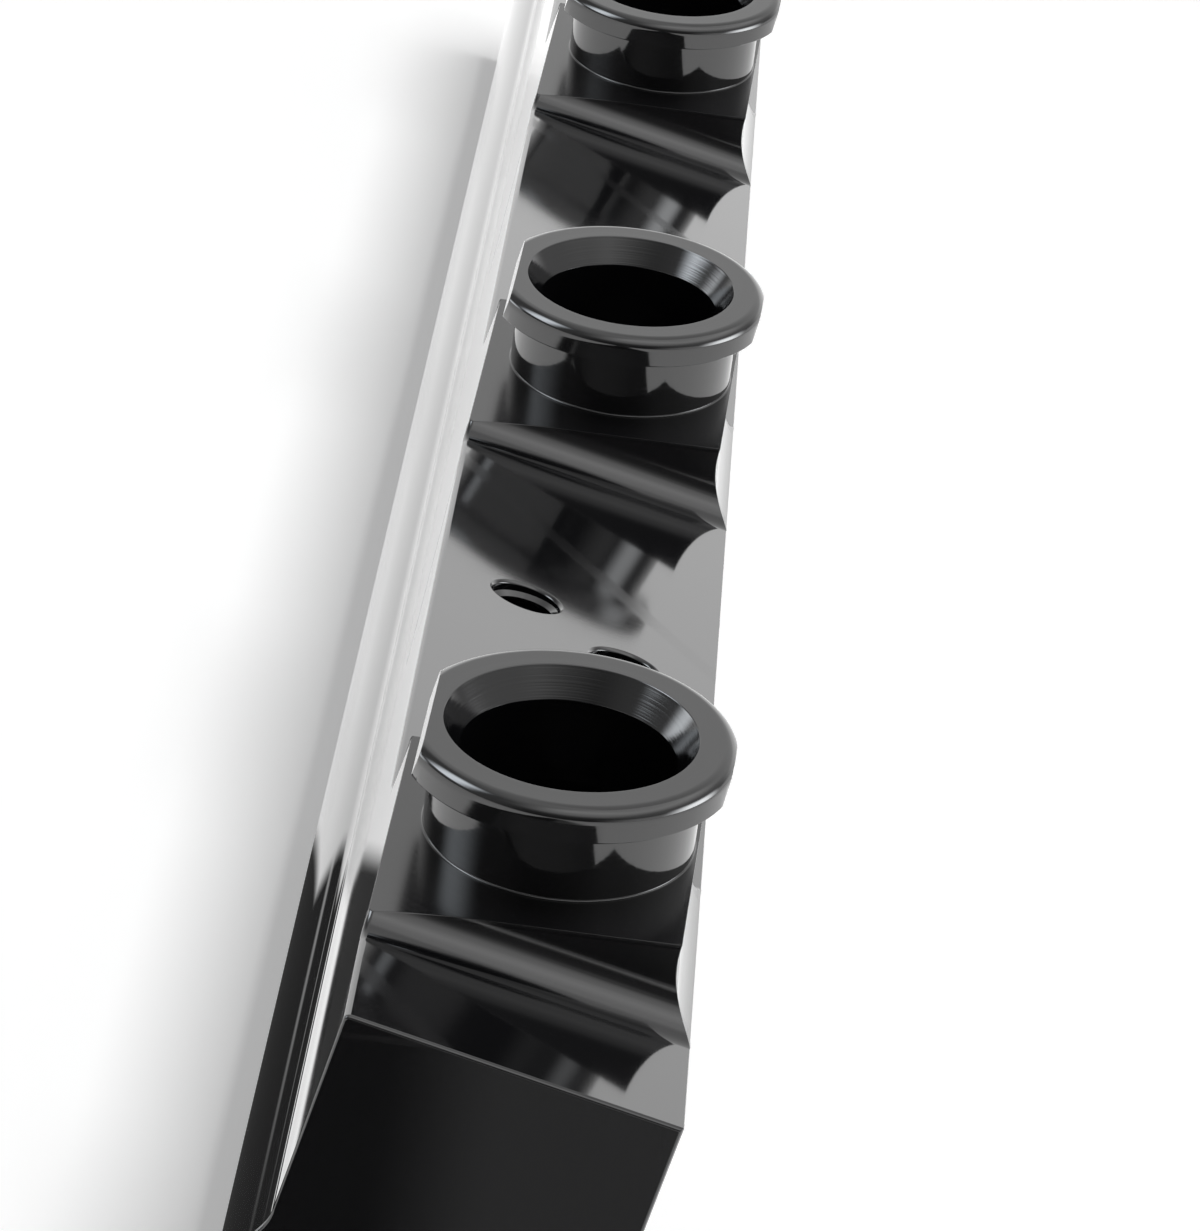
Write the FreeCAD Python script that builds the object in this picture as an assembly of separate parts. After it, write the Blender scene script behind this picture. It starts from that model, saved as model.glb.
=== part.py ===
# Fuel rail for one bank of an inline row of injectors, machined from one aluminium extrusion.
#
# The extrusion has a round lower body, a waist that opens into a flat-sided neck, and a taller block on top.
# The block is milled down to flat lands between the injector places, and what is left standing is a row of
# bosses. Each boss is spot-faced at a compound angle, and an injector cup with a lip stands square on that face.
#
# Axes: X runs along the rail, Y across it and Z up, out of the lands. Lengths are in millimetres.
# Origin: middle of the narrow flat on the underside, at half of the rail's length.

import math
import os

import FreeCAD
import Part

from FreeCAD import Rotation, Vector

# Injector places
CUP_COUNT = 4
CUP_PITCH = 100.0
END_TO_CUP = 25.3

# Extrusion: round body, neck and shoulder
NECK_WIDTH = 21.0
BODY_OVERHANG = 1.75
BODY_TO_LAND = 20.4
REST_FLAT_WIDTH = 10.0
NECK_ROOT_RADIUS = 3.0
SHOULDER_RADIUS = 7.0
SHOULDER_INSET = 2.4
END_EDGE_BREAK = 0.25

# Bosses left standing between the lands
BOSS_LENGTH = 21.2
COVE_RADIUS = 2.7

# Injector cups: two lean angles, and where the middle of the mouth lies over the land
CUP_LEAN_ALONG = 9.1
CUP_LEAN_ACROSS = 12.6
CUP_MOUTH_HEIGHT = 12.3
CUP_MOUTH_OFFSET = 2.0
CUP_STAND = 7.4
CUP_BODY_DIAMETER = 17.0
CUP_ROOT_BEVEL = 0.3
LIP_DIAMETER = 20.9
LIP_THICKNESS = 2.2
LIP_EDGE_RADIUS = 0.8

# Bore of a cup, which seals on the injector's ring, and the drilling under it
BORE_DIAMETER = 13.5
BORE_DEPTH = 17.0
MOUTH_DIAMETER = 15.9
MOUTH_DEPTH = 1.9
FEED_DIAMETER = 5.0
DRILL_POINT_ANGLE = 118.0

# Gallery along the rail, with a straight-thread port in each end (cut at the thread's inner diameter)
GALLERY_DIAMETER = 11.6
PORT_BORE_DIAMETER = 12.9
PORT_BORE_DEPTH = 15.0
PORT_SEAT_DIAMETER = 15.7
PORT_SEAT_DEPTH = 2.4
PORT_SEAT_TAPER = 0.6

# Tapped holes for a bracket, in diagonal pairs on the lands (cut at the thread's inner diameter)
BRACKET_LANDS = (0, 2)
BRACKET_HOLE_DIAMETER = 4.2
BRACKET_HOLE_DEPTH = 9.5
BRACKET_SINK_DIAMETER = 5.4
BRACKET_PAIR_ACROSS = 7.6
BRACKET_PAIR_ALONG = 7.0

# Run-out of a cutter past the surface it leaves
RUN_OUT = 1.0

RAIL_LENGTH = 2 * END_TO_CUP + (CUP_COUNT - 1) * CUP_PITCH
BODY_RADIUS = NECK_WIDTH / 2 + BODY_OVERHANG
BODY_CENTRE_Z = math.sqrt(BODY_RADIUS**2 - (REST_FLAT_WIDTH / 2) ** 2)
LAND_Z = BODY_CENTRE_Z + BODY_TO_LAND
SHOULDER_HEIGHT = math.sqrt(SHOULDER_RADIUS**2 - (SHOULDER_RADIUS - SHOULDER_INSET) ** 2)
CUP_AXIS = Vector(
    -math.tan(math.radians(CUP_LEAN_ALONG)),
    math.tan(math.radians(CUP_LEAN_ACROSS)),
    1,
).normalize()
BLOCK_TOP_Z = LAND_Z + CUP_MOUTH_HEIGHT + LIP_DIAMETER / 2 + RUN_OUT


def line(start, end):
    return Part.LineSegment(start, end).toShape()


def arc(start, middle, end):
    return Part.Arc(start, middle, end).toShape()


def face(edges):
    return Part.Face(Part.Wire(edges))


def on_circle(centre, radius, angle):
    """Point of the section at an angle in radians, counted from +Y towards +Z."""
    return centre + Vector(0, radius * math.cos(angle), radius * math.sin(angle))


def neck_side(side):
    """Edges from the rest flat up to the land, on the +Y side (1) or the -Y side (-1)."""
    centre = Vector(0, 0, BODY_CENTRE_Z)
    half_neck = NECK_WIDTH / 2
    reach = BODY_RADIUS + NECK_ROOT_RADIUS
    root_y = half_neck + NECK_ROOT_RADIUS
    root = Vector(0, side * root_y, BODY_CENTRE_Z + math.sqrt(reach**2 - root_y**2))
    flat_edge = Vector(0, side * REST_FLAT_WIDTH / 2, 0)
    body_top_angle = math.atan2(root.z - centre.z, root.y)
    widest = centre + Vector(0, side * BODY_RADIUS, 0)
    body_top = on_circle(centre, BODY_RADIUS, body_top_angle)
    neck_foot = Vector(0, side * half_neck, root.z)
    towards_body = (body_top - root).normalize()
    towards_neck = Vector(0, -side, 0)
    root_middle = root + (towards_body + towards_neck).normalize() * NECK_ROOT_RADIUS
    return [
        arc(flat_edge, widest, body_top),
        arc(body_top, root_middle, neck_foot),
        line(neck_foot, Vector(0, side * half_neck, LAND_Z)),
    ]


def extrusion():
    """The stock: body, neck and the block that the bosses and cups are cut from."""
    half_neck = NECK_WIDTH / 2
    shoulder_y = -half_neck + SHOULDER_INSET
    shoulder_centre = Vector(0, shoulder_y - SHOULDER_RADIUS, LAND_Z + SHOULDER_HEIGHT)
    land_edge = Vector(0, -half_neck, LAND_Z)
    shoulder_top = Vector(0, shoulder_y, shoulder_centre.z)
    bottom_angle = math.atan2(land_edge.z - shoulder_centre.z, land_edge.y - shoulder_centre.y)
    shoulder_middle = on_circle(shoulder_centre, SHOULDER_RADIUS, bottom_angle / 2)
    left_top = Vector(0, half_neck, BLOCK_TOP_Z)
    right_top = Vector(0, shoulder_y, BLOCK_TOP_Z)
    edges = neck_side(1)
    edges.append(line(Vector(0, half_neck, LAND_Z), left_top))
    edges.append(line(left_top, right_top))
    edges.append(line(right_top, shoulder_top))
    edges.append(arc(shoulder_top, shoulder_middle, land_edge))
    edges.extend(reversed(neck_side(-1)))
    edges.append(line(Vector(0, -REST_FLAT_WIDTH / 2, 0), Vector(0, REST_FLAT_WIDTH / 2, 0)))
    stock = face(edges).extrude(Vector(RAIL_LENGTH, 0, 0))
    stock.translate(Vector(-RAIL_LENGTH / 2, 0, 0))
    return stock


def cup_x(index):
    return END_TO_CUP + index * CUP_PITCH - RAIL_LENGTH / 2


def land_cutter(start, end):
    """A cutter's sweep across the block: it leaves a land, and a cove at the foot of each boss."""
    top = BLOCK_TOP_Z + RUN_OUT
    at_rail_start = start < cup_x(0)
    at_rail_end = end > cup_x(CUP_COUNT - 1)
    lean = COVE_RADIUS * (1 - math.sqrt(0.5))
    edges = [line(Vector(end, 0, top), Vector(start, 0, top))]
    floor_start = Vector(start, 0, LAND_Z)
    floor_end = Vector(end, 0, LAND_Z)
    if at_rail_start:
        edges.append(line(Vector(start, 0, top), floor_start))
    else:
        wall_foot = Vector(start, 0, LAND_Z + COVE_RADIUS)
        floor_start = Vector(start + COVE_RADIUS, 0, LAND_Z)
        edges.append(line(Vector(start, 0, top), wall_foot))
        edges.append(arc(wall_foot, Vector(start + lean, 0, LAND_Z + lean), floor_start))
    if at_rail_end:
        edges.append(line(floor_start, floor_end))
        edges.append(line(floor_end, Vector(end, 0, top)))
    else:
        wall_foot = Vector(end, 0, LAND_Z + COVE_RADIUS)
        floor_end = Vector(end - COVE_RADIUS, 0, LAND_Z)
        edges.append(line(floor_start, floor_end))
        edges.append(arc(floor_end, Vector(end - lean, 0, LAND_Z + lean), wall_foot))
        edges.append(line(wall_foot, Vector(end, 0, top)))
    width = NECK_WIDTH + 2 * RUN_OUT
    cutter = face(edges).extrude(Vector(0, width, 0))
    cutter.translate(Vector(0, -width / 2, 0))
    return cutter


def land_cutters():
    edges_x = [-RAIL_LENGTH / 2 - RUN_OUT]
    for index in range(CUP_COUNT):
        edges_x.append(cup_x(index) - BOSS_LENGTH / 2)
        edges_x.append(cup_x(index) + BOSS_LENGTH / 2)
    edges_x.append(RAIL_LENGTH / 2 + RUN_OUT)
    return [land_cutter(edges_x[i], edges_x[i + 1]) for i in range(0, len(edges_x), 2)]


def turned(points, fillets=()):
    """Solid of revolution about Z from (radius, height) points, closed along the axis.

    fillets gives, for a point's number, the radius that rounds its corner.
    """
    rounding = dict(fillets)
    corners = [Vector(radius, 0, height) for radius, height in points]
    edges = []
    position = corners[0]
    for number in range(1, len(corners)):
        corner = corners[number]
        if number in rounding:
            back = (corners[number - 1] - corner).normalize()
            ahead = (corners[number + 1] - corner).normalize()
            half_angle = back.getAngle(ahead) / 2
            trim = rounding[number] / math.tan(half_angle)
            centre = corner + (back + ahead).normalize() * (rounding[number] / math.sin(half_angle))
            middle = centre + (corner - centre).normalize() * rounding[number]
            edges.append(line(position, corner + back * trim))
            edges.append(arc(corner + back * trim, middle, corner + ahead * trim))
            position = corner + ahead * trim
        else:
            edges.append(line(position, corner))
            position = corner
    edges.append(line(position, corners[0]))
    return face(edges).revolve(Vector(0, 0, 0), Vector(0, 0, 1), 360)


def stand_on_cup_axis(shape, index):
    """Turns a shape drawn about Z, with the cup's mouth at height 0, onto the axis of a cup."""
    mouth = FreeCAD.Placement(
        Vector(cup_x(index), CUP_MOUTH_OFFSET, LAND_Z + CUP_MOUTH_HEIGHT),
        Rotation(Vector(0, 0, 1), CUP_AXIS),
    )
    shape.Placement = mouth.multiply(shape.Placement)
    return shape


def cup_outside():
    """Outside of a cup: root bevel on the spot face, plain body, and the lip with its rounded edge."""
    body = CUP_BODY_DIAMETER / 2
    lip = LIP_DIAMETER / 2
    root = body + CUP_ROOT_BEVEL
    points = [
        (0, -CUP_STAND - RUN_OUT),
        (root, -CUP_STAND - RUN_OUT),
        (root, -CUP_STAND),
        (body, -CUP_STAND + CUP_ROOT_BEVEL),
        (body, -LIP_THICKNESS),
        (lip, -LIP_THICKNESS),
        (lip, 0),
        (0, 0),
    ]
    return turned(points, {6: LIP_EDGE_RADIUS})


def spot_face_cutter(index):
    """All that is milled off a boss above its slanting spot face, round the cup that is left."""
    length = BOSS_LENGTH + 2 * COVE_RADIUS
    reach = NECK_WIDTH + BOSS_LENGTH
    block = Part.makeBox(length, NECK_WIDTH + 2 * RUN_OUT, BLOCK_TOP_Z + RUN_OUT - LAND_Z)
    block.translate(Vector(cup_x(index) - length / 2, -NECK_WIDTH / 2 - RUN_OUT, LAND_Z))
    above_face = Part.makeBox(2 * reach, 2 * reach, reach)
    above_face.translate(Vector(-reach, -reach, -CUP_STAND))
    above_face = stand_on_cup_axis(above_face, index)
    return block.common(above_face).cut(stand_on_cup_axis(cup_outside(), index))


def drill_point(diameter):
    return diameter / 2 / math.tan(math.radians(DRILL_POINT_ANGLE / 2))


def cup_bore():
    """Chamfered mouth and sealing bore, down to the cone that the drill leaves."""
    bore = BORE_DIAMETER / 2
    slope = (MOUTH_DIAMETER - BORE_DIAMETER) / 2 / MOUTH_DEPTH
    mouth = MOUTH_DIAMETER / 2 + slope * RUN_OUT
    return turned([
        (0, RUN_OUT),
        (mouth, RUN_OUT),
        (bore, -MOUTH_DEPTH),
        (bore, -BORE_DEPTH),
        (0, -BORE_DEPTH - drill_point(BORE_DIAMETER)),
    ])


def feed_drilling(index):
    """Upright drilling from the floor of a cup into the gallery."""
    floor = Vector(cup_x(index), CUP_MOUTH_OFFSET, LAND_Z + CUP_MOUTH_HEIGHT) - CUP_AXIS * BORE_DEPTH
    return Part.makeCylinder(FEED_DIAMETER / 2, floor.z - BODY_CENTRE_Z, floor, Vector(0, 0, -1))


def end_port():
    """Straight-thread port: a tapered seat for the fitting's ring, then the thread's inner diameter."""
    bore = PORT_BORE_DIAMETER / 2
    seat = PORT_SEAT_DIAMETER / 2
    gallery = GALLERY_DIAMETER / 2
    return turned([
        (0, RUN_OUT),
        (seat, RUN_OUT),
        (seat, 0),
        (seat - PORT_SEAT_TAPER, -PORT_SEAT_DEPTH),
        (bore, -PORT_SEAT_DEPTH),
        (bore, -PORT_BORE_DEPTH),
        (gallery, -PORT_BORE_DEPTH - (bore - gallery)),
        (0, -PORT_BORE_DEPTH - (bore - gallery)),
    ])


def bracket_hole():
    """Blind tapped hole with a small countersink."""
    hole = BRACKET_HOLE_DIAMETER / 2
    sink = BRACKET_SINK_DIAMETER / 2
    return turned([
        (0, RUN_OUT),
        (sink + RUN_OUT, RUN_OUT),
        (hole, -(sink - hole)),
        (hole, -BRACKET_HOLE_DEPTH),
        (0, -BRACKET_HOLE_DEPTH - drill_point(BRACKET_HOLE_DIAMETER)),
    ])


def bracket_holes():
    """One hole of each pair is at mid-land, on the low side. The other is further on, on the lean side."""
    holes = []
    for index in BRACKET_LANDS:
        middle_x = cup_x(index) + CUP_PITCH / 2
        for step_x, side in ((0, -1), (BRACKET_PAIR_ALONG, 1)):
            hole = bracket_hole()
            hole.translate(Vector(middle_x + step_x, side * BRACKET_PAIR_ACROSS / 2, LAND_Z))
            holes.append(hole)
    return holes


def gallery_cutters():
    gallery = Part.makeCylinder(
        GALLERY_DIAMETER / 2, RAIL_LENGTH, Vector(-RAIL_LENGTH / 2, 0, BODY_CENTRE_Z), Vector(1, 0, 0)
    )
    ports = []
    for direction in (-1, 1):
        port = end_port()
        port.Placement = FreeCAD.Placement(
            Vector(direction * RAIL_LENGTH / 2, 0, BODY_CENTRE_Z),
            Rotation(Vector(0, 0, 1), Vector(direction, 0, 0)),
        )
        ports.append(port)
    return [gallery] + ports


def break_end_edges(solid):
    """Small chamfer round the outline of both end faces."""
    outline = []
    for edge in solid.Edges:
        box = edge.BoundBox
        at_end = abs(abs(box.Center.x) - RAIL_LENGTH / 2) < 1e-4
        if at_end and box.XLength < 1e-4:
            outline.append(edge)
    return solid.makeChamfer(END_EDGE_BREAK, outline)


def rail_body():
    solid = extrusion().cut(land_cutters())
    solid = break_end_edges(solid)
    solid = solid.cut([spot_face_cutter(index) for index in range(CUP_COUNT)])
    solid = solid.cut([stand_on_cup_axis(cup_bore(), index) for index in range(CUP_COUNT)])
    solid = solid.cut([feed_drilling(index) for index in range(CUP_COUNT)])
    solid = solid.cut(gallery_cutters() + bracket_holes())
    return solid.removeSplitter()


os.makedirs("parts", exist_ok=True)
rail = rail_body()
if not rail.isValid() or len(rail.Solids) != 1:
    raise RuntimeError("the rail is not one valid solid")
rail.Solids[0].exportStep("parts/rail_body.step")
box = rail.BoundBox
print("rail", round(box.XLength, 2), round(box.YLength, 2), round(box.ZLength, 2), "volume", round(rail.Volume, 1))
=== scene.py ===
import math

import bpy
from mathutils import Matrix, Vector


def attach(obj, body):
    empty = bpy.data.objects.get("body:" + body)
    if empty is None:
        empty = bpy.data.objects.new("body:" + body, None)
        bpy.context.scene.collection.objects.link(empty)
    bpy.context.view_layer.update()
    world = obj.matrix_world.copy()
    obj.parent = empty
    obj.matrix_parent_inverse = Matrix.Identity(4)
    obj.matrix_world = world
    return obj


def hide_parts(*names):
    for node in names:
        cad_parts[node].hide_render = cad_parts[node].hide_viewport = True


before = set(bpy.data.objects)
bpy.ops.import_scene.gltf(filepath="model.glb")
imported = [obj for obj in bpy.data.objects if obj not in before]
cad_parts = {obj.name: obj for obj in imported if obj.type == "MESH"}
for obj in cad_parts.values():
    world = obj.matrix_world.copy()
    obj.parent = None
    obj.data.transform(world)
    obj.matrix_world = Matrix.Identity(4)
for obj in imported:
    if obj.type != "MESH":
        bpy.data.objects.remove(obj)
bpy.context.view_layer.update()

# Extruded blank
# The rail starts as a solid aluminium extrusion, sawn to length. It has a round body with a narrow flat to
# rest on, small root fillets up to a flat-sided neck, and a block on top with one rounded shoulder.
RAIL_LENGTH = 0.3506
RAIL_START = -RAIL_LENGTH / 2
RAIL_END = RAIL_LENGTH / 2
BODY_RADIUS = 0.01225
REST_FLAT_HALF = 0.005
NECK_HALF = 0.0105
ROOT_RADIUS = 0.003
SHOULDER_RADIUS = 0.007
SHOULDER_INSET = 0.0024
LAND_RISE = 0.0204
BLOCK_RISE = 0.0238
BODY_CENTRE_Z = math.sqrt(BODY_RADIUS**2 - REST_FLAT_HALF**2)
LAND_Z = BODY_CENTRE_Z + LAND_RISE
BLOCK_TOP_Z = LAND_Z + BLOCK_RISE
ALONG = Vector((1, 0, 0))
SAME_POINT = 1e-7


def start_outline(name, start):
    bpy.ops.object.select_all(action="DESELECT")
    bpy.ops.mesh.primitive_plane_add(size=0.001)
    bpy.context.object.name = name
    bpy.ops.object.mode_set(mode="EDIT")
    bpy.ops.mesh.select_mode(type="VERT")
    bpy.ops.mesh.select_all(action="SELECT")
    bpy.ops.mesh.merge(type="CENTER")
    bpy.ops.transform.translate(value=start)
    return bpy.context.object


def line_to(start, end):
    bpy.ops.mesh.extrude_region_move(TRANSFORM_OT_translate={"value": end - start})
    return end


def arc_to(start, centre, axis, degrees, steps):
    bpy.ops.mesh.spin(steps=steps, angle=-math.radians(degrees), center=centre, axis=axis)
    return centre + Matrix.Rotation(math.radians(degrees), 3, axis) @ (start - centre)


def close_outline():
    bpy.ops.mesh.select_all(action="SELECT")
    bpy.ops.mesh.remove_doubles(threshold=SAME_POINT)
    bpy.ops.mesh.edge_face_add()


def face_outwards():
    bpy.ops.mesh.select_all(action="SELECT")
    bpy.ops.mesh.normals_make_consistent(inside=False)
    bpy.ops.object.mode_set(mode="OBJECT")


root_y = NECK_HALF + ROOT_RADIUS
root_rise = math.sqrt((BODY_RADIUS + ROOT_RADIUS) ** 2 - root_y**2)
root_angle = math.degrees(math.atan2(root_rise, root_y))
flat_angle = math.degrees(math.acos(REST_FLAT_HALF / BODY_RADIUS))
shoulder_rise = math.sqrt(SHOULDER_RADIUS**2 - (SHOULDER_RADIUS - SHOULDER_INSET) ** 2)
shoulder_angle = math.degrees(math.asin(shoulder_rise / SHOULDER_RADIUS))
body_middle = Vector((RAIL_START, 0, BODY_CENTRE_Z))
left_root = Vector((RAIL_START, root_y, BODY_CENTRE_Z + root_rise))
right_root = Vector((RAIL_START, -root_y, BODY_CENTRE_Z + root_rise))
shoulder_y = SHOULDER_INSET - NECK_HALF
shoulder_middle = Vector((RAIL_START, shoulder_y - SHOULDER_RADIUS, LAND_Z + shoulder_rise))

at = Vector((RAIL_START, REST_FLAT_HALF, 0))
rail = start_outline("fuel_rail", at)
at = arc_to(at, body_middle, ALONG, flat_angle + root_angle, steps=64)
at = arc_to(at, left_root, ALONG, -root_angle, steps=14)
at = line_to(at, Vector((RAIL_START, NECK_HALF, BLOCK_TOP_Z)))
at = line_to(at, Vector((RAIL_START, shoulder_y, BLOCK_TOP_Z)))
at = line_to(at, Vector((RAIL_START, shoulder_y, shoulder_middle.z)))
at = arc_to(at, shoulder_middle, ALONG, -shoulder_angle, steps=24)
at = line_to(at, right_root + Vector((0, ROOT_RADIUS, 0)))
at = arc_to(at, right_root, ALONG, -root_angle, steps=14)
at = arc_to(at, body_middle, ALONG, flat_angle + root_angle, steps=64)
close_outline()
bpy.ops.mesh.extrude_region_move(TRANSFORM_OT_translate={"value": (RAIL_LENGTH, 0, 0)})
face_outwards()

# Lands and bosses
# The block is milled down to flat lands with a round-nosed cutter, which leaves a cove at the foot of each
# boss. The outer lands run out over the ends. The left edge of each land is broken with a file, and the
# corner of each boss over the lean side is blended by hand.
CUP_COUNT = 4
CUP_PITCH = 0.1
END_TO_CUP = 0.0253
CUP_X = [RAIL_START + END_TO_CUP + CUP_PITCH * number for number in range(CUP_COUNT)]
BOSS_HALF = 0.0106
COVE_RADIUS = 0.0027
CUTTER_HALF = 0.012
OVERRUN = 0.001
BLEND_RADIUS = 0.0009
LAND_BREAK = 0.0004
END_BREAK = 0.00025
CLOSE = 1e-6
NEAR = 1e-5


def add_block(name, low, high):
    bpy.ops.object.select_all(action="DESELECT")
    bpy.ops.mesh.primitive_cube_add(size=1)
    block = bpy.context.object
    block.name = name
    block.matrix_world = Matrix.LocRotScale((low + high) / 2, None, high - low)
    bpy.ops.object.transform_apply(location=True, rotation=True, scale=True)
    return block


def select_edges(piece, wanted):
    bpy.ops.object.mode_set(mode="EDIT")
    bpy.ops.mesh.select_mode(type="EDGE")
    bpy.ops.mesh.select_all(action="DESELECT")
    bpy.ops.object.mode_set(mode="OBJECT")
    for edge in piece.data.edges:
        first, second = [piece.data.vertices[number].co for number in edge.vertices]
        edge.select = wanted(first, second)
    bpy.ops.object.mode_set(mode="EDIT")


def bevel_edges(piece, wanted, width, segments):
    select_edges(piece, wanted)
    bpy.ops.mesh.bevel(offset=width, segments=segments, affect="EDGES", clamp_overlap=False)
    bpy.ops.object.mode_set(mode="OBJECT")


def join_pieces(pieces):
    bpy.ops.object.select_all(action="DESELECT")
    for piece in pieces:
        piece.select_set(True)
    bpy.context.view_layer.objects.active = pieces[0]
    bpy.ops.object.join()
    return pieces[0]


def combine(piece, tool, operation):
    step = piece.modifiers.new("step", "BOOLEAN")
    step.operation = operation
    step.solver = "EXACT"
    step.object = tool
    bpy.ops.object.select_all(action="DESELECT")
    bpy.context.view_layer.objects.active = piece
    piece.select_set(True)
    bpy.ops.object.modifier_apply(modifier=step.name)
    bpy.data.objects.remove(tool, do_unlink=True)


def at_boss_foot(first, second):
    inside = abs(first.x) < RAIL_END
    return inside and max(first.z, second.z) < LAND_Z + CLOSE and abs(first.x - second.x) < CLOSE


def at_land_edge(first, second):
    on_side = min(first.y, second.y) > NECK_HALF - CLOSE
    above_neck = min(first.z, second.z) > LAND_Z - CLOSE
    below_boss = max(first.z, second.z) < LAND_Z + COVE_RADIUS + CLOSE
    return on_side and above_neck and below_boss


def at_blended_corner(first, second):
    upright = abs(first.x - second.x) < CLOSE and abs(first.y - second.y) < CLOSE
    on_far_side = min(abs(first.x - x - BOSS_HALF) for x in CUP_X) < NEAR
    return upright and on_far_side and first.y > NECK_HALF - NEAR


def on_end_outline(first, second):
    return min(first.x, second.x) > RAIL_END - CLOSE or max(first.x, second.x) < RAIL_START + CLOSE


land_ends = [RAIL_START - OVERRUN]
for x in CUP_X:
    land_ends += [x - BOSS_HALF, x + BOSS_HALF]
land_ends.append(RAIL_END + OVERRUN)
land_cutters = []
for start_x, end_x in zip(land_ends[::2], land_ends[1::2]):
    low = Vector((start_x, -CUTTER_HALF, LAND_Z))
    high = Vector((end_x, CUTTER_HALF, BLOCK_TOP_Z + OVERRUN))
    cutter = add_block("land", low, high)
    bevel_edges(cutter, at_boss_foot, COVE_RADIUS, segments=20)
    land_cutters.append(cutter)
combine(rail, join_pieces(land_cutters), "DIFFERENCE")
bevel_edges(rail, at_land_edge, LAND_BREAK, segments=6)
bevel_edges(rail, at_blended_corner, BLEND_RADIUS, segments=8)
bevel_edges(rail, on_end_outline, END_BREAK, segments=2)

# Injector cups
# Each boss is spot-faced square to its cup, and the cup is turned from what is left standing: a plain body,
# a lip with a rounded edge, and a chamfered mouth over the bore that seals on the injector's ring.
LEAN_ALONG = math.radians(9.1)
LEAN_ACROSS = math.radians(12.6)
UP = Vector((0, 0, 1))
ACROSS = Vector((0, 1, 0))
CUP_AXIS = Vector((-math.tan(LEAN_ALONG), math.tan(LEAN_ACROSS), 1)).normalized()
MOUTH_ASIDE = 0.002
MOUTH_RISE = 0.0123
FIRST_MOUTH = Vector((CUP_X[0], MOUTH_ASIDE, LAND_Z + MOUTH_RISE))
FIRST_CUP = Matrix.Translation(FIRST_MOUTH) @ UP.rotation_difference(CUP_AXIS).to_matrix().to_4x4()
CUP_STAND = 0.0074
CUP_RADIUS = 0.0085
CUP_ROOT = 0.00009
CUP_SUNK_TO = 0.012
LIP_RADIUS = 0.01045
LIP_ROUND = 0.00092
LIP_THICKNESS = 0.0022
LIP_UNDER_ROUND = 0.0001
MOUTH_TOOL_RADIUS = 0.0085816
MOUTH_DEPTH = 0.0019
BORE_RADIUS = 0.00675
BORE_DEPTH = 0.017
BORE_POINT = 0.0210558
SPOT_FACE_HALF = 0.0115
AMPLE = 0.05
TURNED_STEPS = 160


def turn_outline(steps):
    bpy.ops.mesh.select_all(action="SELECT")
    bpy.ops.mesh.spin(steps=steps, angle=math.tau, center=(0, 0, 0), axis=UP)
    bpy.ops.mesh.select_all(action="SELECT")
    bpy.ops.mesh.remove_doubles(threshold=SAME_POINT)
    face_outwards()


def place(piece, matrix):
    bpy.ops.object.select_all(action="DESELECT")
    bpy.context.view_layer.objects.active = piece
    piece.select_set(True)
    piece.matrix_world = matrix
    bpy.ops.object.transform_apply(location=True, rotation=True, scale=True)
    return piece


def repeat_along(piece, places):
    copies = [piece]
    for x in places[1:]:
        copy = piece.copy()
        copy.data = piece.data.copy()
        bpy.context.scene.collection.objects.link(copy)
        copies.append(place(copy, Matrix.Translation((x - places[0], 0, 0))))
    return join_pieces(copies)


def cup_outside():
    root_radius = CUP_RADIUS + CUP_ROOT
    under_middle = Vector((LIP_RADIUS - LIP_UNDER_ROUND, 0, LIP_UNDER_ROUND - LIP_THICKNESS))
    lip_middle = Vector((LIP_RADIUS - LIP_ROUND, 0, -LIP_ROUND))
    at = Vector((0, 0, -CUP_SUNK_TO))
    cup = start_outline("cup_outside", at)
    at = line_to(at, Vector((root_radius, 0, -CUP_SUNK_TO)))
    at = line_to(at, Vector((root_radius, 0, -CUP_STAND)))
    at = line_to(at, Vector((CUP_RADIUS, 0, CUP_ROOT - CUP_STAND)))
    at = line_to(at, Vector((CUP_RADIUS, 0, -LIP_THICKNESS)))
    at = line_to(at, Vector((LIP_RADIUS - LIP_UNDER_ROUND, 0, -LIP_THICKNESS)))
    at = arc_to(at, under_middle, ACROSS, -90, steps=3)
    at = line_to(at, Vector((LIP_RADIUS, 0, -LIP_ROUND)))
    at = arc_to(at, lip_middle, ACROSS, -90, steps=16)
    at = line_to(at, Vector((0, 0, 0)))
    turn_outline(TURNED_STEPS)
    return place(cup, FIRST_CUP)


boss_reach = BOSS_HALF + COVE_RADIUS
spot_face = add_block(
    "spot_face",
    Vector((CUP_X[0] - boss_reach, -SPOT_FACE_HALF, LAND_Z)),
    Vector((CUP_X[0] + boss_reach, SPOT_FACE_HALF, BLOCK_TOP_Z + OVERRUN)),
)
above_face = add_block("above_face", Vector((-AMPLE, -AMPLE, -CUP_STAND)), Vector((AMPLE, AMPLE, AMPLE)))
combine(spot_face, place(above_face, FIRST_CUP), "INTERSECT")
combine(spot_face, cup_outside(), "DIFFERENCE")
combine(rail, repeat_along(spot_face, CUP_X), "DIFFERENCE")

at = Vector((0, 0, OVERRUN))
cup_bore = start_outline("cup_bore", at)
at = line_to(at, Vector((MOUTH_TOOL_RADIUS, 0, OVERRUN)))
at = line_to(at, Vector((BORE_RADIUS, 0, -MOUTH_DEPTH)))
at = line_to(at, Vector((BORE_RADIUS, 0, -BORE_DEPTH)))
at = line_to(at, Vector((0, 0, -BORE_POINT)))
turn_outline(TURNED_STEPS)
place(cup_bore, FIRST_CUP)
combine(rail, repeat_along(cup_bore, CUP_X), "DIFFERENCE")

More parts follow.
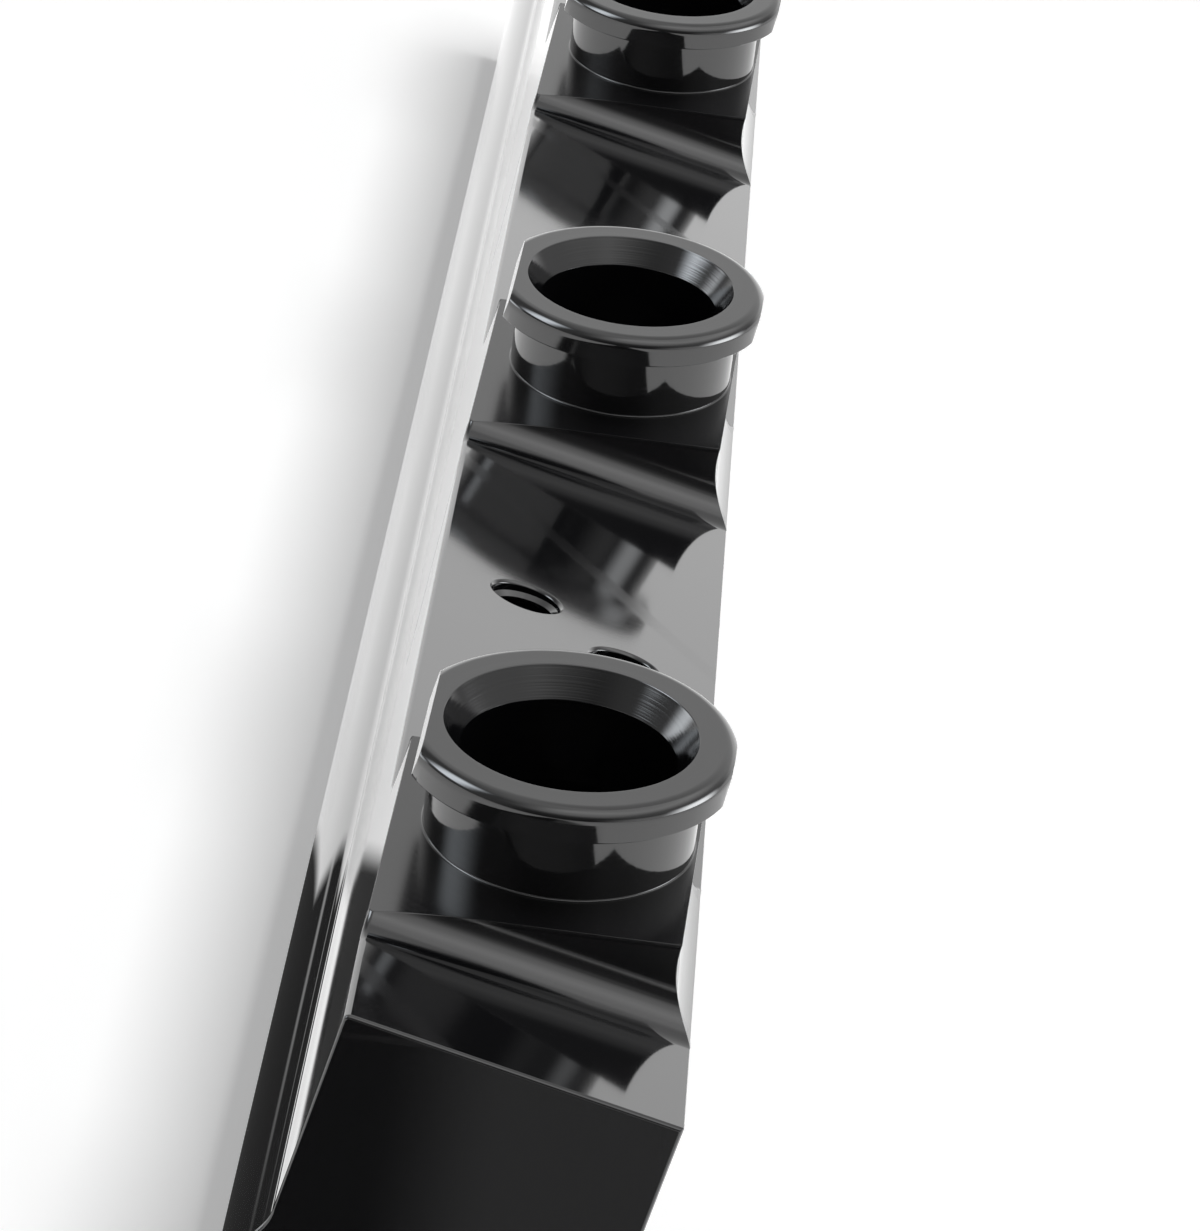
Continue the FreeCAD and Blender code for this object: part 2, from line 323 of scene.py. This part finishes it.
# Gallery, feed drillings and end ports
# The gallery is drilled right through the body, and tapped at both ends with a straight thread that has a
# tapered seat for the fitting's ring. An upright drilling joins the floor of each cup to it.
GALLERY_RADIUS = 0.0058
FEED_RADIUS = 0.0025
SEAT_RADIUS = 0.00785
SEAT_FLOOR_RADIUS = 0.00725
SEAT_DEPTH = 0.0024
PORT_RADIUS = 0.00645
PORT_ROOT_RADIUS = 0.00715
PORT_DEPTH = 0.015
PORT_PITCH = 0.00141
PORT_THREAD_START = 0.0034
PORT_TURNS = 7
RIDGE_SUNK = 0.00003
RIDGE_FOOT = 0.46
RIDGE_CREST = 0.07

cup_floor = FIRST_MOUTH - CUP_AXIS * BORE_DEPTH
bpy.ops.object.select_all(action="DESELECT")
bpy.ops.mesh.primitive_cylinder_add(vertices=64, radius=FEED_RADIUS, depth=cup_floor.z - BODY_CENTRE_Z)
feed_middle = Vector((cup_floor.x, cup_floor.y, (cup_floor.z + BODY_CENTRE_Z) / 2))
feed = place(bpy.context.object, Matrix.Translation(feed_middle))
combine(rail, repeat_along(feed, CUP_X), "DIFFERENCE")

port_steps = [
    (SEAT_RADIUS, -OVERRUN),
    (SEAT_RADIUS, 0),
    (SEAT_FLOOR_RADIUS, SEAT_DEPTH),
    (PORT_ROOT_RADIUS, SEAT_DEPTH + (SEAT_FLOOR_RADIUS - PORT_ROOT_RADIUS)),
    (PORT_ROOT_RADIUS, PORT_DEPTH - (PORT_ROOT_RADIUS - PORT_RADIUS)),
    (PORT_RADIUS, PORT_DEPTH),
    (GALLERY_RADIUS, PORT_DEPTH + (PORT_RADIUS - GALLERY_RADIUS)),
]
at = Vector((0, 0, RAIL_START - OVERRUN))
gallery = start_outline("gallery", at)
for radius, depth in port_steps:
    at = line_to(at, Vector((radius, 0, RAIL_START + depth)))
for radius, depth in reversed(port_steps):
    at = line_to(at, Vector((radius, 0, RAIL_END - depth)))
at = line_to(at, Vector((0, 0, RAIL_END + OVERRUN)))
turn_outline(TURNED_STEPS)
place(gallery, Matrix.Translation((0, 0, BODY_CENTRE_Z)) @ Matrix.Rotation(math.radians(90), 4, "Y"))
combine(rail, gallery, "DIFFERENCE")


def thread_ridge(name, root_radius, tip_radius, pitch, depth, turns, steps):
    foot_radius = root_radius + RIDGE_SUNK
    at = Vector((foot_radius, 0, -depth - RIDGE_FOOT * pitch))
    ridge = start_outline(name, at)
    at = line_to(at, Vector((tip_radius, 0, -depth - RIDGE_CREST * pitch)))
    at = line_to(at, Vector((tip_radius, 0, -depth + RIDGE_CREST * pitch)))
    at = line_to(at, Vector((foot_radius, 0, -depth + RIDGE_FOOT * pitch)))
    close_outline()
    bpy.ops.mesh.delete(type="ONLY_FACE")
    bpy.ops.object.mode_set(mode="OBJECT")
    screw = ridge.modifiers.new("screw", "SCREW")
    screw.axis = "Z"
    screw.angle = math.tau
    screw.screw_offset = -pitch
    screw.iterations = turns
    screw.steps = steps
    screw.render_steps = steps
    bpy.ops.object.modifier_apply(modifier=screw.name)
    bpy.ops.object.mode_set(mode="EDIT")
    bpy.ops.mesh.select_mode(type="EDGE")
    bpy.ops.mesh.select_all(action="DESELECT")
    bpy.ops.mesh.select_non_manifold()
    bpy.ops.mesh.fill_holes(sides=0)
    face_outwards()
    return ridge


threads = []
for end_x, turn in ((RAIL_START, -90), (RAIL_END, 90)):
    ridge = thread_ridge(
        "port_thread", PORT_ROOT_RADIUS, PORT_RADIUS, PORT_PITCH, PORT_THREAD_START, PORT_TURNS, steps=64
    )
    into_end = Matrix.Rotation(math.radians(turn), 4, "Y")
    threads.append(place(ridge, Matrix.Translation((end_x, 0, BODY_CENTRE_Z)) @ into_end))

# Bracket holes
# Two lands carry a diagonal pair of tapped holes for a mounting bracket, each with a small countersink. The
# tap stops short of the drill's floor.
BRACKET_LANDS = (0, 2)
BRACKET_ASIDE = 0.0038
BRACKET_STEP = 0.007
BRACKET_RADIUS = 0.0021
BRACKET_ROOT_RADIUS = 0.0025
BRACKET_SINK = 0.0002
BRACKET_TAPPED = 0.0082
BRACKET_TAP_END = 0.0086
BRACKET_DEPTH = 0.0095
BRACKET_POINT = 0.01076
BRACKET_PITCH = 0.0008
BRACKET_THREAD_START = 0.0006
BRACKET_TURNS = 9

for land in BRACKET_LANDS:
    for step_x, y in ((0, -BRACKET_ASIDE), (BRACKET_STEP, BRACKET_ASIDE)):
        spot = Matrix.Translation((CUP_X[land] + CUP_PITCH / 2 + step_x, y, LAND_Z))
        at = Vector((0, 0, OVERRUN))
        hole = start_outline("bracket_hole", at)
        at = line_to(at, Vector((BRACKET_ROOT_RADIUS + BRACKET_SINK + OVERRUN, 0, OVERRUN)))
        at = line_to(at, Vector((BRACKET_ROOT_RADIUS, 0, -BRACKET_SINK)))
        at = line_to(at, Vector((BRACKET_ROOT_RADIUS, 0, -BRACKET_TAPPED)))
        at = line_to(at, Vector((BRACKET_RADIUS, 0, -BRACKET_TAP_END)))
        at = line_to(at, Vector((BRACKET_RADIUS, 0, -BRACKET_DEPTH)))
        at = line_to(at, Vector((0, 0, -BRACKET_POINT)))
        turn_outline(64)
        combine(rail, place(hole, spot), "DIFFERENCE")
        ridge = thread_ridge(
            "bracket_thread", BRACKET_ROOT_RADIUS, BRACKET_RADIUS, BRACKET_PITCH,
            BRACKET_THREAD_START, BRACKET_TURNS, steps=32,
        )
        threads.append(place(ridge, spot @ Matrix.Rotation(math.radians(180), 4, "Z")))

# Finish of the whole rail
# Every sharp edge is broken, then the rail is polished and anodised: a clear dark oxide skin, like black
# glass. Under it the cups keep the rings of the lathe tool, the coves the duller surface of the round-nosed
# cutter, and the lands faint straight polishing lines.
EDGE_BREAK = 0.00005
FLAT_WITHIN = math.radians(0.3)
BROKEN_FROM = math.radians(32)
SMOOTH_BELOW = math.radians(24)
SKIN_DARK = (0.0034, 0.0035, 0.0042, 1)
SKIN_LIGHT = (0.0062, 0.0062, 0.0068, 1)
SKIN_IOR = 1.77
SIDE_ROUGH = (0.022, 0.038)
CUP_ROUGH = (0.06, 0.1)
LAND_ROUGHER = 0.045
MOUTH_ROUGHER = 0.03
SPOT_FACE_ROUGHER = 0.1
COVE_ROUGHER = 0.13
RELIEF_DEPTH = 0.0000022
SIDE_RELIEF = 0.015
LAND_RELIEF = 0.14
CUP_RELIEF = 0.25
MOUTH_RELIEF = 1.5
POLISH_STRETCH = (30, 3500, 3500)
CLOUD_STRETCH = (55, 90, 90)
CUTTER_STRETCH = (5200, 120, 5200)
RING_SPACING = 0.00016
RINGS_DOWN_TO = 0.0213

bpy.ops.object.select_all(action="DESELECT")
bpy.context.view_layer.objects.active = rail
rail.select_set(True)
bpy.ops.object.mode_set(mode="EDIT")
bpy.ops.mesh.select_mode(type="VERT")
bpy.ops.mesh.select_all(action="SELECT")
bpy.ops.mesh.remove_doubles(threshold=SAME_POINT)
bpy.ops.mesh.select_all(action="SELECT")
bpy.ops.mesh.dissolve_limited(angle_limit=FLAT_WITHIN)
bpy.ops.object.mode_set(mode="OBJECT")
broken = rail.modifiers.new("broken_edges", "BEVEL")
broken.limit_method = "ANGLE"
broken.angle_limit = BROKEN_FROM
broken.width = EDGE_BREAK
broken.segments = 2
broken.use_clamp_overlap = False
broken.miter_outer = "MITER_ARC"
bpy.ops.object.modifier_apply(modifier=broken.name)
rail = join_pieces([rail] + threads)
bpy.ops.object.shade_smooth_by_angle(angle=SMOOTH_BELOW)
even = rail.modifiers.new("even_shading", "WEIGHTED_NORMAL")
even.mode = "FACE_AREA"
even.keep_sharp = True
bpy.ops.object.modifier_apply(modifier=even.name)
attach(rail, "root")
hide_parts("rail_body")


def worked(tree, operation, *values):
    node = tree.nodes.new("ShaderNodeMath")
    node.operation = operation
    for socket, value in zip(node.inputs, values):
        if isinstance(value, (int, float)):
            socket.default_value = value
        else:
            tree.links.new(value, socket)
    return node.outputs["Value"]


def fade(tree, value, low, high, at_low=0.0, at_high=1.0):
    step = tree.nodes.new("ShaderNodeMapRange")
    step.interpolation_type = "SMOOTHSTEP"
    for socket, number in zip(step.inputs[1:5], (low, high, at_low, at_high)):
        socket.default_value = number
    tree.links.new(value, step.inputs["Value"])
    return step.outputs["Result"]


def grain(tree, where, stretch, detail):
    scaled = tree.nodes.new("ShaderNodeVectorMath")
    scaled.operation = "MULTIPLY"
    scaled.inputs[1].default_value = stretch
    tree.links.new(where, scaled.inputs[0])
    noise = tree.nodes.new("ShaderNodeTexNoise")
    noise.inputs["Scale"].default_value = 1.0
    noise.inputs["Detail"].default_value = detail
    tree.links.new(scaled.outputs["Vector"], noise.inputs["Vector"])
    return noise.outputs["Fac"]


def tool_rings(tree, where, spacing, detail):
    noise = tree.nodes.new("ShaderNodeTexNoise")
    noise.noise_dimensions = "1D"
    noise.inputs["Scale"].default_value = 1 / spacing
    noise.inputs["Detail"].default_value = detail
    tree.links.new(where, noise.inputs["W"])
    return noise.outputs["Fac"]


def place_on_cup(tree, along, axes):
    from_mouth = tree.nodes.new("ShaderNodeCombineXYZ")
    tree.links.new(along, from_mouth.inputs["X"])
    tree.links.new(worked(tree, "SUBTRACT", axes.outputs["Y"], FIRST_MOUTH.y), from_mouth.inputs["Y"])
    tree.links.new(worked(tree, "SUBTRACT", axes.outputs["Z"], FIRST_MOUTH.z), from_mouth.inputs["Z"])
    upright = tree.nodes.new("ShaderNodeMapping")
    upright.inputs["Rotation"].default_value = UP.rotation_difference(CUP_AXIS).inverted().to_euler()
    tree.links.new(from_mouth.outputs["Vector"], upright.inputs["Vector"])
    on_cup = tree.nodes.new("ShaderNodeSeparateXYZ")
    tree.links.new(upright.outputs["Vector"], on_cup.inputs["Vector"])
    across = worked(tree, "MULTIPLY", on_cup.outputs["X"], on_cup.outputs["X"])
    squared = worked(tree, "MULTIPLY_ADD", on_cup.outputs["Y"], on_cup.outputs["Y"], across)
    return worked(tree, "SQRT", squared), on_cup.outputs["Z"]


def black_anodised():
    material = bpy.data.materials.new("black_anodised")
    material.use_nodes = True
    tree = material.node_tree
    shader = tree.nodes["Principled BSDF"]
    shader.inputs["Metallic"].default_value = 0.0
    shader.inputs["IOR"].default_value = SKIN_IOR

    def calc(operation, *values):
        return worked(tree, operation, *values)

    def between(value, low, high, at_low=0.0, at_high=1.0):
        return fade(tree, value, low, high, at_low, at_high)

    on_rail = tree.nodes.new("ShaderNodeTexCoord").outputs["Object"]
    axes = tree.nodes.new("ShaderNodeSeparateXYZ")
    tree.links.new(on_rail, axes.inputs["Vector"])
    half_pitch = CUP_PITCH / 2
    nearest = calc("WRAP", axes.outputs["X"], CUP_X[0] + half_pitch, CUP_X[0] - half_pitch)
    along = calc("SUBTRACT", nearest, CUP_X[0])
    radius, height = place_on_cup(tree, along, axes)
    from_land = calc("ABSOLUTE", calc("SUBTRACT", axes.outputs["Z"], LAND_Z))

    above_face = between(height, -CUP_STAND - 0.0003, -CUP_STAND - 0.00015)
    within_bore = between(radius, BORE_RADIUS + 0.00015, BORE_RADIUS + 0.00025, 1.0, 0.0)
    in_bore = calc("MULTIPLY", within_bore, between(height, -RINGS_DOWN_TO - 0.0002, -RINGS_DOWN_TO))
    turned = calc("MAXIMUM", above_face, in_bore)
    within_mouth = between(radius, CUP_RADIUS - 0.0001, CUP_RADIUS + 0.0001, 1.0, 0.0)
    in_mouth = calc("MULTIPLY", within_mouth, between(height, -MOUTH_DEPTH - 0.0005, -MOUTH_DEPTH - 0.0003))
    beside_boss = between(calc("ABSOLUTE", along), BOSS_HALF - 0.00012, BOSS_HALF - 0.00002)
    above_land = between(axes.outputs["Z"], LAND_Z + 0.00002, LAND_Z + 0.00025)
    below_face = between(height, -CUP_STAND - 0.0004, -CUP_STAND - 0.0002, 1.0, 0.0)
    on_cove = calc("MULTIPLY", beside_boss, calc("MULTIPLY", above_land, below_face))
    below_cup = between(height, -CUP_STAND + 0.0001, -CUP_STAND + 0.0003, 1.0, 0.0)
    on_spot_face = calc("MULTIPLY", above_face, below_cup)
    on_land = between(from_land, 0.00001, 0.00004, 1.0, 0.0)
    not_turned = calc("SUBTRACT", 1.0, turned)

    polish_lines = grain(tree, on_rail, POLISH_STRETCH, 3.0)
    clouds = grain(tree, on_rail, CLOUD_STRETCH, 4.0)
    rings = tool_rings(tree, calc("MULTIPLY_ADD", height, 0.6, radius), RING_SPACING, 3.0)
    cutter_lines = grain(tree, on_rail, CUTTER_STRETCH, 2.0)

    flat_rough = calc("MULTIPLY_ADD", on_land, LAND_ROUGHER, between(clouds, 0.3, 0.7, *SIDE_ROUGH))
    cup_rough = calc("MULTIPLY_ADD", in_mouth, MOUTH_ROUGHER, between(rings, 0.3, 0.7, *CUP_ROUGH))
    roughness = calc("ADD", calc("MULTIPLY", flat_rough, not_turned), calc("MULTIPLY", cup_rough, turned))
    roughness = calc("MULTIPLY_ADD", on_spot_face, SPOT_FACE_ROUGHER, roughness)
    roughness = calc("MULTIPLY_ADD", on_cove, COVE_ROUGHER, roughness)
    tree.links.new(roughness, shader.inputs["Roughness"])

    polish_depth = calc("MULTIPLY_ADD", on_land, LAND_RELIEF, SIDE_RELIEF)
    relief = calc("MULTIPLY", polish_lines, calc("MULTIPLY", polish_depth, not_turned))
    ring_depth = calc("MULTIPLY", turned, calc("MULTIPLY_ADD", in_mouth, MOUTH_RELIEF, CUP_RELIEF))
    relief = calc("MULTIPLY_ADD", rings, ring_depth, relief)
    relief = calc("MULTIPLY_ADD", cutter_lines, on_cove, relief)
    bump = tree.nodes.new("ShaderNodeBump")
    bump.inputs["Strength"].default_value = 1.0
    bump.inputs["Distance"].default_value = RELIEF_DEPTH
    tree.links.new(relief, bump.inputs["Height"])
    tree.links.new(bump.outputs["Normal"], shader.inputs["Normal"])

    skin = tree.nodes.new("ShaderNodeMix")
    skin.data_type = "RGBA"
    skin.inputs["A"].default_value = SKIN_DARK
    skin.inputs["B"].default_value = SKIN_LIGHT
    tree.links.new(clouds, skin.inputs["Factor"])
    tree.links.new(skin.outputs["Result"], shader.inputs["Base Color"])
    return material


rail.data.materials.clear()
rail.data.materials.append(black_anodised())

# Camera
# It stands beyond the rail's near end and a little above it, and looks along the rail with a long lens. It
# is rolled so that the rail climbs across the frame.
CAMERA_PLACE = Vector((-0.511166, 0.030142, 0.173416))
CAMERA_FORWARD = Vector((0.944887, -0.071566, -0.319480))
CAMERA_UP = Vector((0.324810, 0.327356, 0.887320))
FILM_HEIGHT = 36.0
FOCAL_LENGTH = 182.96

camera_data = bpy.data.cameras.new("camera")
camera_data.sensor_fit = "VERTICAL"
camera_data.sensor_height = FILM_HEIGHT
camera_data.lens = FOCAL_LENGTH
camera_data.clip_start = 0.01
camera = bpy.data.objects.new("camera", camera_data)
bpy.context.scene.collection.objects.link(camera)
back = -CAMERA_FORWARD.normalized()
right = CAMERA_UP.cross(back).normalized()
up = back.cross(right)
camera.matrix_world = Matrix((
    (right.x, up.x, back.x, CAMERA_PLACE.x),
    (right.y, up.y, back.y, CAMERA_PLACE.y),
    (right.z, up.z, back.z, CAMERA_PLACE.z),
    (0, 0, 0, 1),
))
bpy.context.scene.camera = camera

# Floor
# A sheet of white paper under the rail. It keeps the rail's shadow, and shows as white to the camera and in
# the polished faces.
SHEET_SIZE = 8.0
SHEET_Z = -0.0002
PAPER = (0.85, 0.85, 0.85, 1)
GLOW_SEEN = 0.3
GLOW_MIRRORED = 0.57

bpy.ops.object.select_all(action="DESELECT")
bpy.ops.mesh.primitive_plane_add(size=SHEET_SIZE, location=(0, 0, SHEET_Z))
floor = bpy.context.object
floor.name = "floor"


def white_sheet():
    material = bpy.data.materials.new("white_sheet")
    material.use_nodes = True
    tree = material.node_tree
    tree.nodes.clear()
    output = tree.nodes.new("ShaderNodeOutputMaterial")
    both = tree.nodes.new("ShaderNodeAddShader")
    paper = tree.nodes.new("ShaderNodeBsdfDiffuse")
    paper.inputs["Color"].default_value = PAPER
    glow = tree.nodes.new("ShaderNodeEmission")
    rays = tree.nodes.new("ShaderNodeLightPath")
    seen = worked(tree, "MULTIPLY", rays.outputs["Is Camera Ray"], GLOW_SEEN)
    strength = worked(tree, "MULTIPLY_ADD", rays.outputs["Is Glossy Ray"], GLOW_MIRRORED, seen)
    tree.links.new(strength, glow.inputs["Strength"])
    tree.links.new(paper.outputs["BSDF"], both.inputs[0])
    tree.links.new(glow.outputs["Emission"], both.inputs[1])
    tree.links.new(both.outputs["Shader"], output.inputs["Surface"])
    return material


floor.data.materials.append(white_sheet())

# Reflected studio
# Only the polished faces see these: a dark cloth on the sheet under the near end, with soft edges, a
# painted pale line across it for a highlight, and a painted bright streak that only shows in second
# reflections; and upright strip lights that fade towards their edges.
CLOTH_PLACE = (-0.3, 0.0, 0.0001)
CLOTH_SIZE = (0.6, 0.11, 1, 1)
CLOTH_END_X = -0.07
CLOTH_END_BLUR = 0.004
CLOTH_SLANT_FROM_Y = 0.024
CLOTH_SLANT = 2.67
CLOTH_LEFT_FADE = (0.0445, 0.0415)
CLOTH_RIGHT_FADE = (-0.05, -0.018)
# Painted highlight: a pale line across the cloth, which lays a light stripe in the rail's reflection.
PAINTED_LINE_Y = 0.033
PAINTED_LINE_HALF = 0.0022
PAINTED_LINE_FADE = (-0.14, -0.04)
PAINTED_LINE_LIGHT = 0.6
CLOTH_LIGHT = 0.04
RIGHT_LIGHT_FADE = (0.003, -0.007)
RIGHT_LIGHT = 0.2
# Painted reflection: a bright streak on the cloth that only rays reflected twice see.
PAINTED_STREAK_FADE = (0.0205, 0.0235)
PAINTED_STREAK_LIGHT = 1.9
WHITE = (1, 1, 1, 1)


def only_in_reflections(piece, material):
    piece.name = material.name
    piece.data.materials.append(material)
    piece.visible_camera = False
    piece.visible_diffuse = False
    piece.visible_transmission = False
    piece.visible_volume_scatter = False
    piece.visible_shadow = False


def glow_through(tree, cover, tint):
    output = tree.nodes.new("ShaderNodeOutputMaterial")
    clear = tree.nodes.new("ShaderNodeBsdfTransparent")
    light = tree.nodes.new("ShaderNodeEmission")
    light.inputs["Color"].default_value = tint
    choice = tree.nodes.new("ShaderNodeMixShader")
    tree.links.new(cover, choice.inputs["Fac"])
    tree.links.new(clear.outputs["BSDF"], choice.inputs[1])
    tree.links.new(light.outputs["Emission"], choice.inputs[2])
    tree.links.new(choice.outputs["Shader"], output.inputs["Surface"])
    return light.inputs["Strength"]


def dark_cloth():
    material = bpy.data.materials.new("dark_cloth")
    material.use_nodes = True
    tree = material.node_tree
    tree.nodes.clear()
    spot = tree.nodes.new("ShaderNodeTexCoord")
    axes = tree.nodes.new("ShaderNodeSeparateXYZ")
    tree.links.new(spot.outputs["Object"], axes.inputs["Vector"])
    x, y = axes.outputs["X"], axes.outputs["Y"]
    aside = worked(tree, "MAXIMUM", worked(tree, "SUBTRACT", y, CLOTH_SLANT_FROM_Y), 0.0)
    end_x = worked(tree, "MULTIPLY_ADD", aside, CLOTH_SLANT, CLOTH_END_X)
    before_end = fade(tree, worked(tree, "SUBTRACT", x, end_x), CLOTH_END_BLUR, -CLOTH_END_BLUR)
    sides = worked(tree, "MULTIPLY", fade(tree, y, *CLOTH_LEFT_FADE), fade(tree, y, *CLOTH_RIGHT_FADE))
    # Painted highlight line on the cloth.
    from_painted_line = worked(tree, "ABSOLUTE", worked(tree, "SUBTRACT", y, PAINTED_LINE_Y))
    on_painted_line = fade(tree, from_painted_line, PAINTED_LINE_HALF, 0.0)
    painted_line = worked(tree, "MULTIPLY", on_painted_line, fade(tree, x, *PAINTED_LINE_FADE))
    rays = tree.nodes.new("ShaderNodeLightPath")
    # Painted streak: extra glow for rays that have already bounced once.
    seen_twice = worked(tree, "GREATER_THAN", rays.outputs["Ray Depth"], 1.5)
    painted_streak = worked(tree, "MULTIPLY", seen_twice, fade(tree, y, *PAINTED_STREAK_FADE))
    shown = worked(tree, "MULTIPLY_ADD", painted_line, PAINTED_LINE_LIGHT, CLOTH_LIGHT)
    shown = worked(tree, "MULTIPLY_ADD", fade(tree, y, *RIGHT_LIGHT_FADE), RIGHT_LIGHT, shown)
    shown = worked(tree, "MULTIPLY_ADD", painted_streak, PAINTED_STREAK_LIGHT, shown)
    strength = glow_through(tree, worked(tree, "MULTIPLY", before_end, sides), WHITE)
    tree.links.new(shown, strength)
    return material


bpy.ops.object.select_all(action="DESELECT")
bpy.ops.mesh.primitive_plane_add(size=1)
cloth = place(bpy.context.object, Matrix.Translation(CLOTH_PLACE) @ Matrix.Diagonal(CLOTH_SIZE))
only_in_reflections(cloth, dark_cloth())


def soft_box(name, strength, tint):
    material = bpy.data.materials.new(name)
    material.use_nodes = True
    tree = material.node_tree
    tree.nodes.clear()
    spot = tree.nodes.new("ShaderNodeTexCoord")
    axes = tree.nodes.new("ShaderNodeSeparateXYZ")
    tree.links.new(spot.outputs["UV"], axes.inputs["Vector"])
    x, y = axes.outputs["X"], axes.outputs["Y"]
    wide = worked(tree, "MULTIPLY", fade(tree, x, 0.0, 0.45), fade(tree, x, 1.0, 0.55))
    tall = worked(tree, "MULTIPLY", fade(tree, y, 0.0, 0.1), fade(tree, y, 1.0, 0.5))
    glow_through(tree, worked(tree, "MULTIPLY", wide, tall), tint).default_value = strength
    return material


def strip_light(name, headings, heights, strength, tint):
    turn = math.radians(sum(headings) / 2) - math.radians(90)
    width = 2 * math.tan(math.radians(headings[1] - headings[0]) / 2)
    low = math.tan(math.radians(heights[0]))
    high = math.tan(math.radians(heights[1]))
    bpy.ops.object.select_all(action="DESELECT")
    bpy.ops.mesh.primitive_plane_add(size=1)
    upright = Matrix.Rotation(math.radians(90), 4, "X") @ Matrix.Diagonal((width, high - low, 1, 1))
    stand = Matrix.Translation((0, 1, (low + high) / 2)) @ upright
    panel = place(bpy.context.object, Matrix.Rotation(turn, 4, "Z") @ stand)
    only_in_reflections(panel, soft_box(name, strength, tint))


strip_light("left_strip", (80, 126), (12, 50), 7.0, (0.88, 0.94, 1, 1))
strip_light("left_low_strip", (60, 92), (-1, 12), 4.2, (0.92, 0.96, 1, 1))
strip_light("right_strip", (-121, -67), (3, 31), 8.5, (0.96, 0.98, 1, 1))

# World
# Plain white light all round. In reflections it is a studio: a bright low wall beyond the rail, a softer
# one on its right, little on its left, and a soft overhead box behind the camera.
PLAIN_LIGHT = 0.3
SIDE_FROM = 0.3
SIDE_FULL = 0.85
AHEAD_FADE = (0.5, 0.88)
RAMP_FULL = 2.0
BEYOND_WALL = ((0, 1.55), (0.42, 1.5), (0.5, 1.04), (0.64, 0.98), (0.85, 0.82), (1, 0.8))
BEHIND_CAMERA = (
    (0, 0.06), (0.17, 0.09), (0.36, 0.13), (0.5, 0.42), (0.6, 0.95), (0.77, 1.3), (0.9, 1.8), (1, 1.3),
)
RIGHT_WALL = ((0, 1.2), (0.22, 1.0), (0.3, 0.35), (0.6, 0.6), (0.85, 1.7), (1, 1.3))
LEFT_WALL = ((0, 0.3), (0.7, 0.3), (0.9, 0.8), (1, 1.1))

world = bpy.data.worlds.new("studio")
world.use_nodes = True
bpy.context.scene.world = world


def height_ramp(tree, height, stops):
    ramp = tree.nodes.new("ShaderNodeValToRGB")
    while len(ramp.color_ramp.elements) < len(stops):
        ramp.color_ramp.elements.new(0.5)
    for element, (rise, light) in zip(ramp.color_ramp.elements, stops):
        element.position = rise
        element.color = (light / RAMP_FULL, light / RAMP_FULL, light / RAMP_FULL, 1)
    tree.links.new(height, ramp.inputs["Fac"])
    return ramp.outputs["Color"]


def mixed(tree, weight, first, second):
    mix = tree.nodes.new("ShaderNodeMix")
    mix.data_type = "RGBA"
    tree.links.new(weight, mix.inputs["Factor"])
    tree.links.new(first, mix.inputs["A"])
    tree.links.new(second, mix.inputs["B"])
    return mix.outputs["Result"]


def studio_world(tree):
    tree.nodes.clear()
    output = tree.nodes.new("ShaderNodeOutputWorld")
    way = tree.nodes.new("ShaderNodeTexCoord").outputs["Generated"]
    parts = tree.nodes.new("ShaderNodeSeparateXYZ")
    tree.links.new(way, parts.inputs["Vector"])
    flattened = tree.nodes.new("ShaderNodeVectorMath")
    flattened.operation = "MULTIPLY"
    flattened.inputs[1].default_value = (1, 1, 0)
    heading = tree.nodes.new("ShaderNodeVectorMath")
    heading.operation = "NORMALIZE"
    turned = tree.nodes.new("ShaderNodeSeparateXYZ")
    tree.links.new(way, flattened.inputs[0])
    tree.links.new(flattened.outputs["Vector"], heading.inputs[0])
    tree.links.new(heading.outputs["Vector"], turned.inputs["Vector"])
    height = parts.outputs["Z"]
    to_left = fade(tree, turned.outputs["Y"], SIDE_FROM, SIDE_FULL)
    to_right = fade(tree, turned.outputs["Y"], -SIDE_FROM, -SIDE_FULL)
    ahead = fade(tree, turned.outputs["X"], *AHEAD_FADE)
    light = height_ramp(tree, height, BEHIND_CAMERA)
    light = mixed(tree, to_left, light, height_ramp(tree, height, LEFT_WALL))
    light = mixed(tree, to_right, light, height_ramp(tree, height, RIGHT_WALL))
    light = mixed(tree, ahead, light, height_ramp(tree, height, BEYOND_WALL))
    in_polish = tree.nodes.new("ShaderNodeBackground")
    in_polish.inputs["Strength"].default_value = RAMP_FULL
    tree.links.new(light, in_polish.inputs["Color"])
    plain = tree.nodes.new("ShaderNodeBackground")
    rays = tree.nodes.new("ShaderNodeLightPath")
    plain_level = tree.nodes.new("ShaderNodeMapRange")
    plain_level.inputs["To Min"].default_value = PLAIN_LIGHT
    plain_level.inputs["To Max"].default_value = 1.0
    tree.links.new(rays.outputs["Is Camera Ray"], plain_level.inputs["Value"])
    tree.links.new(plain_level.outputs["Result"], plain.inputs["Strength"])
    choice = tree.nodes.new("ShaderNodeMixShader")
    tree.links.new(rays.outputs["Is Glossy Ray"], choice.inputs["Fac"])
    tree.links.new(plain.outputs["Background"], choice.inputs[1])
    tree.links.new(in_polish.outputs["Background"], choice.inputs[2])
    tree.links.new(choice.outputs["Shader"], output.inputs["Surface"])


studio_world(world.node_tree)

# Key light
# A soft box hangs over the rail, a little to its right. It lays a short soft shadow on the sheet to the
# rail's left.
KEY_PLACE = Vector((0.0, -0.2, 1.15))
KEY_LENGTH = 1.0
KEY_WIDTH = 0.4
KEY_POWER = 10.0

key_data = bpy.data.lights.new("key", "AREA")
key_data.shape = "RECTANGLE"
key_data.size = KEY_LENGTH
key_data.size_y = KEY_WIDTH
key_data.energy = KEY_POWER
key = bpy.data.objects.new("key", key_data)
bpy.context.scene.collection.objects.link(key)
facing_rail = (-KEY_PLACE).to_track_quat("-Z", "Y").to_matrix().to_4x4()
key.matrix_world = Matrix.Translation(KEY_PLACE) @ facing_rail
key.visible_glossy = False
key.visible_camera = False

bpy.context.scene.view_settings.view_transform = "Standard"
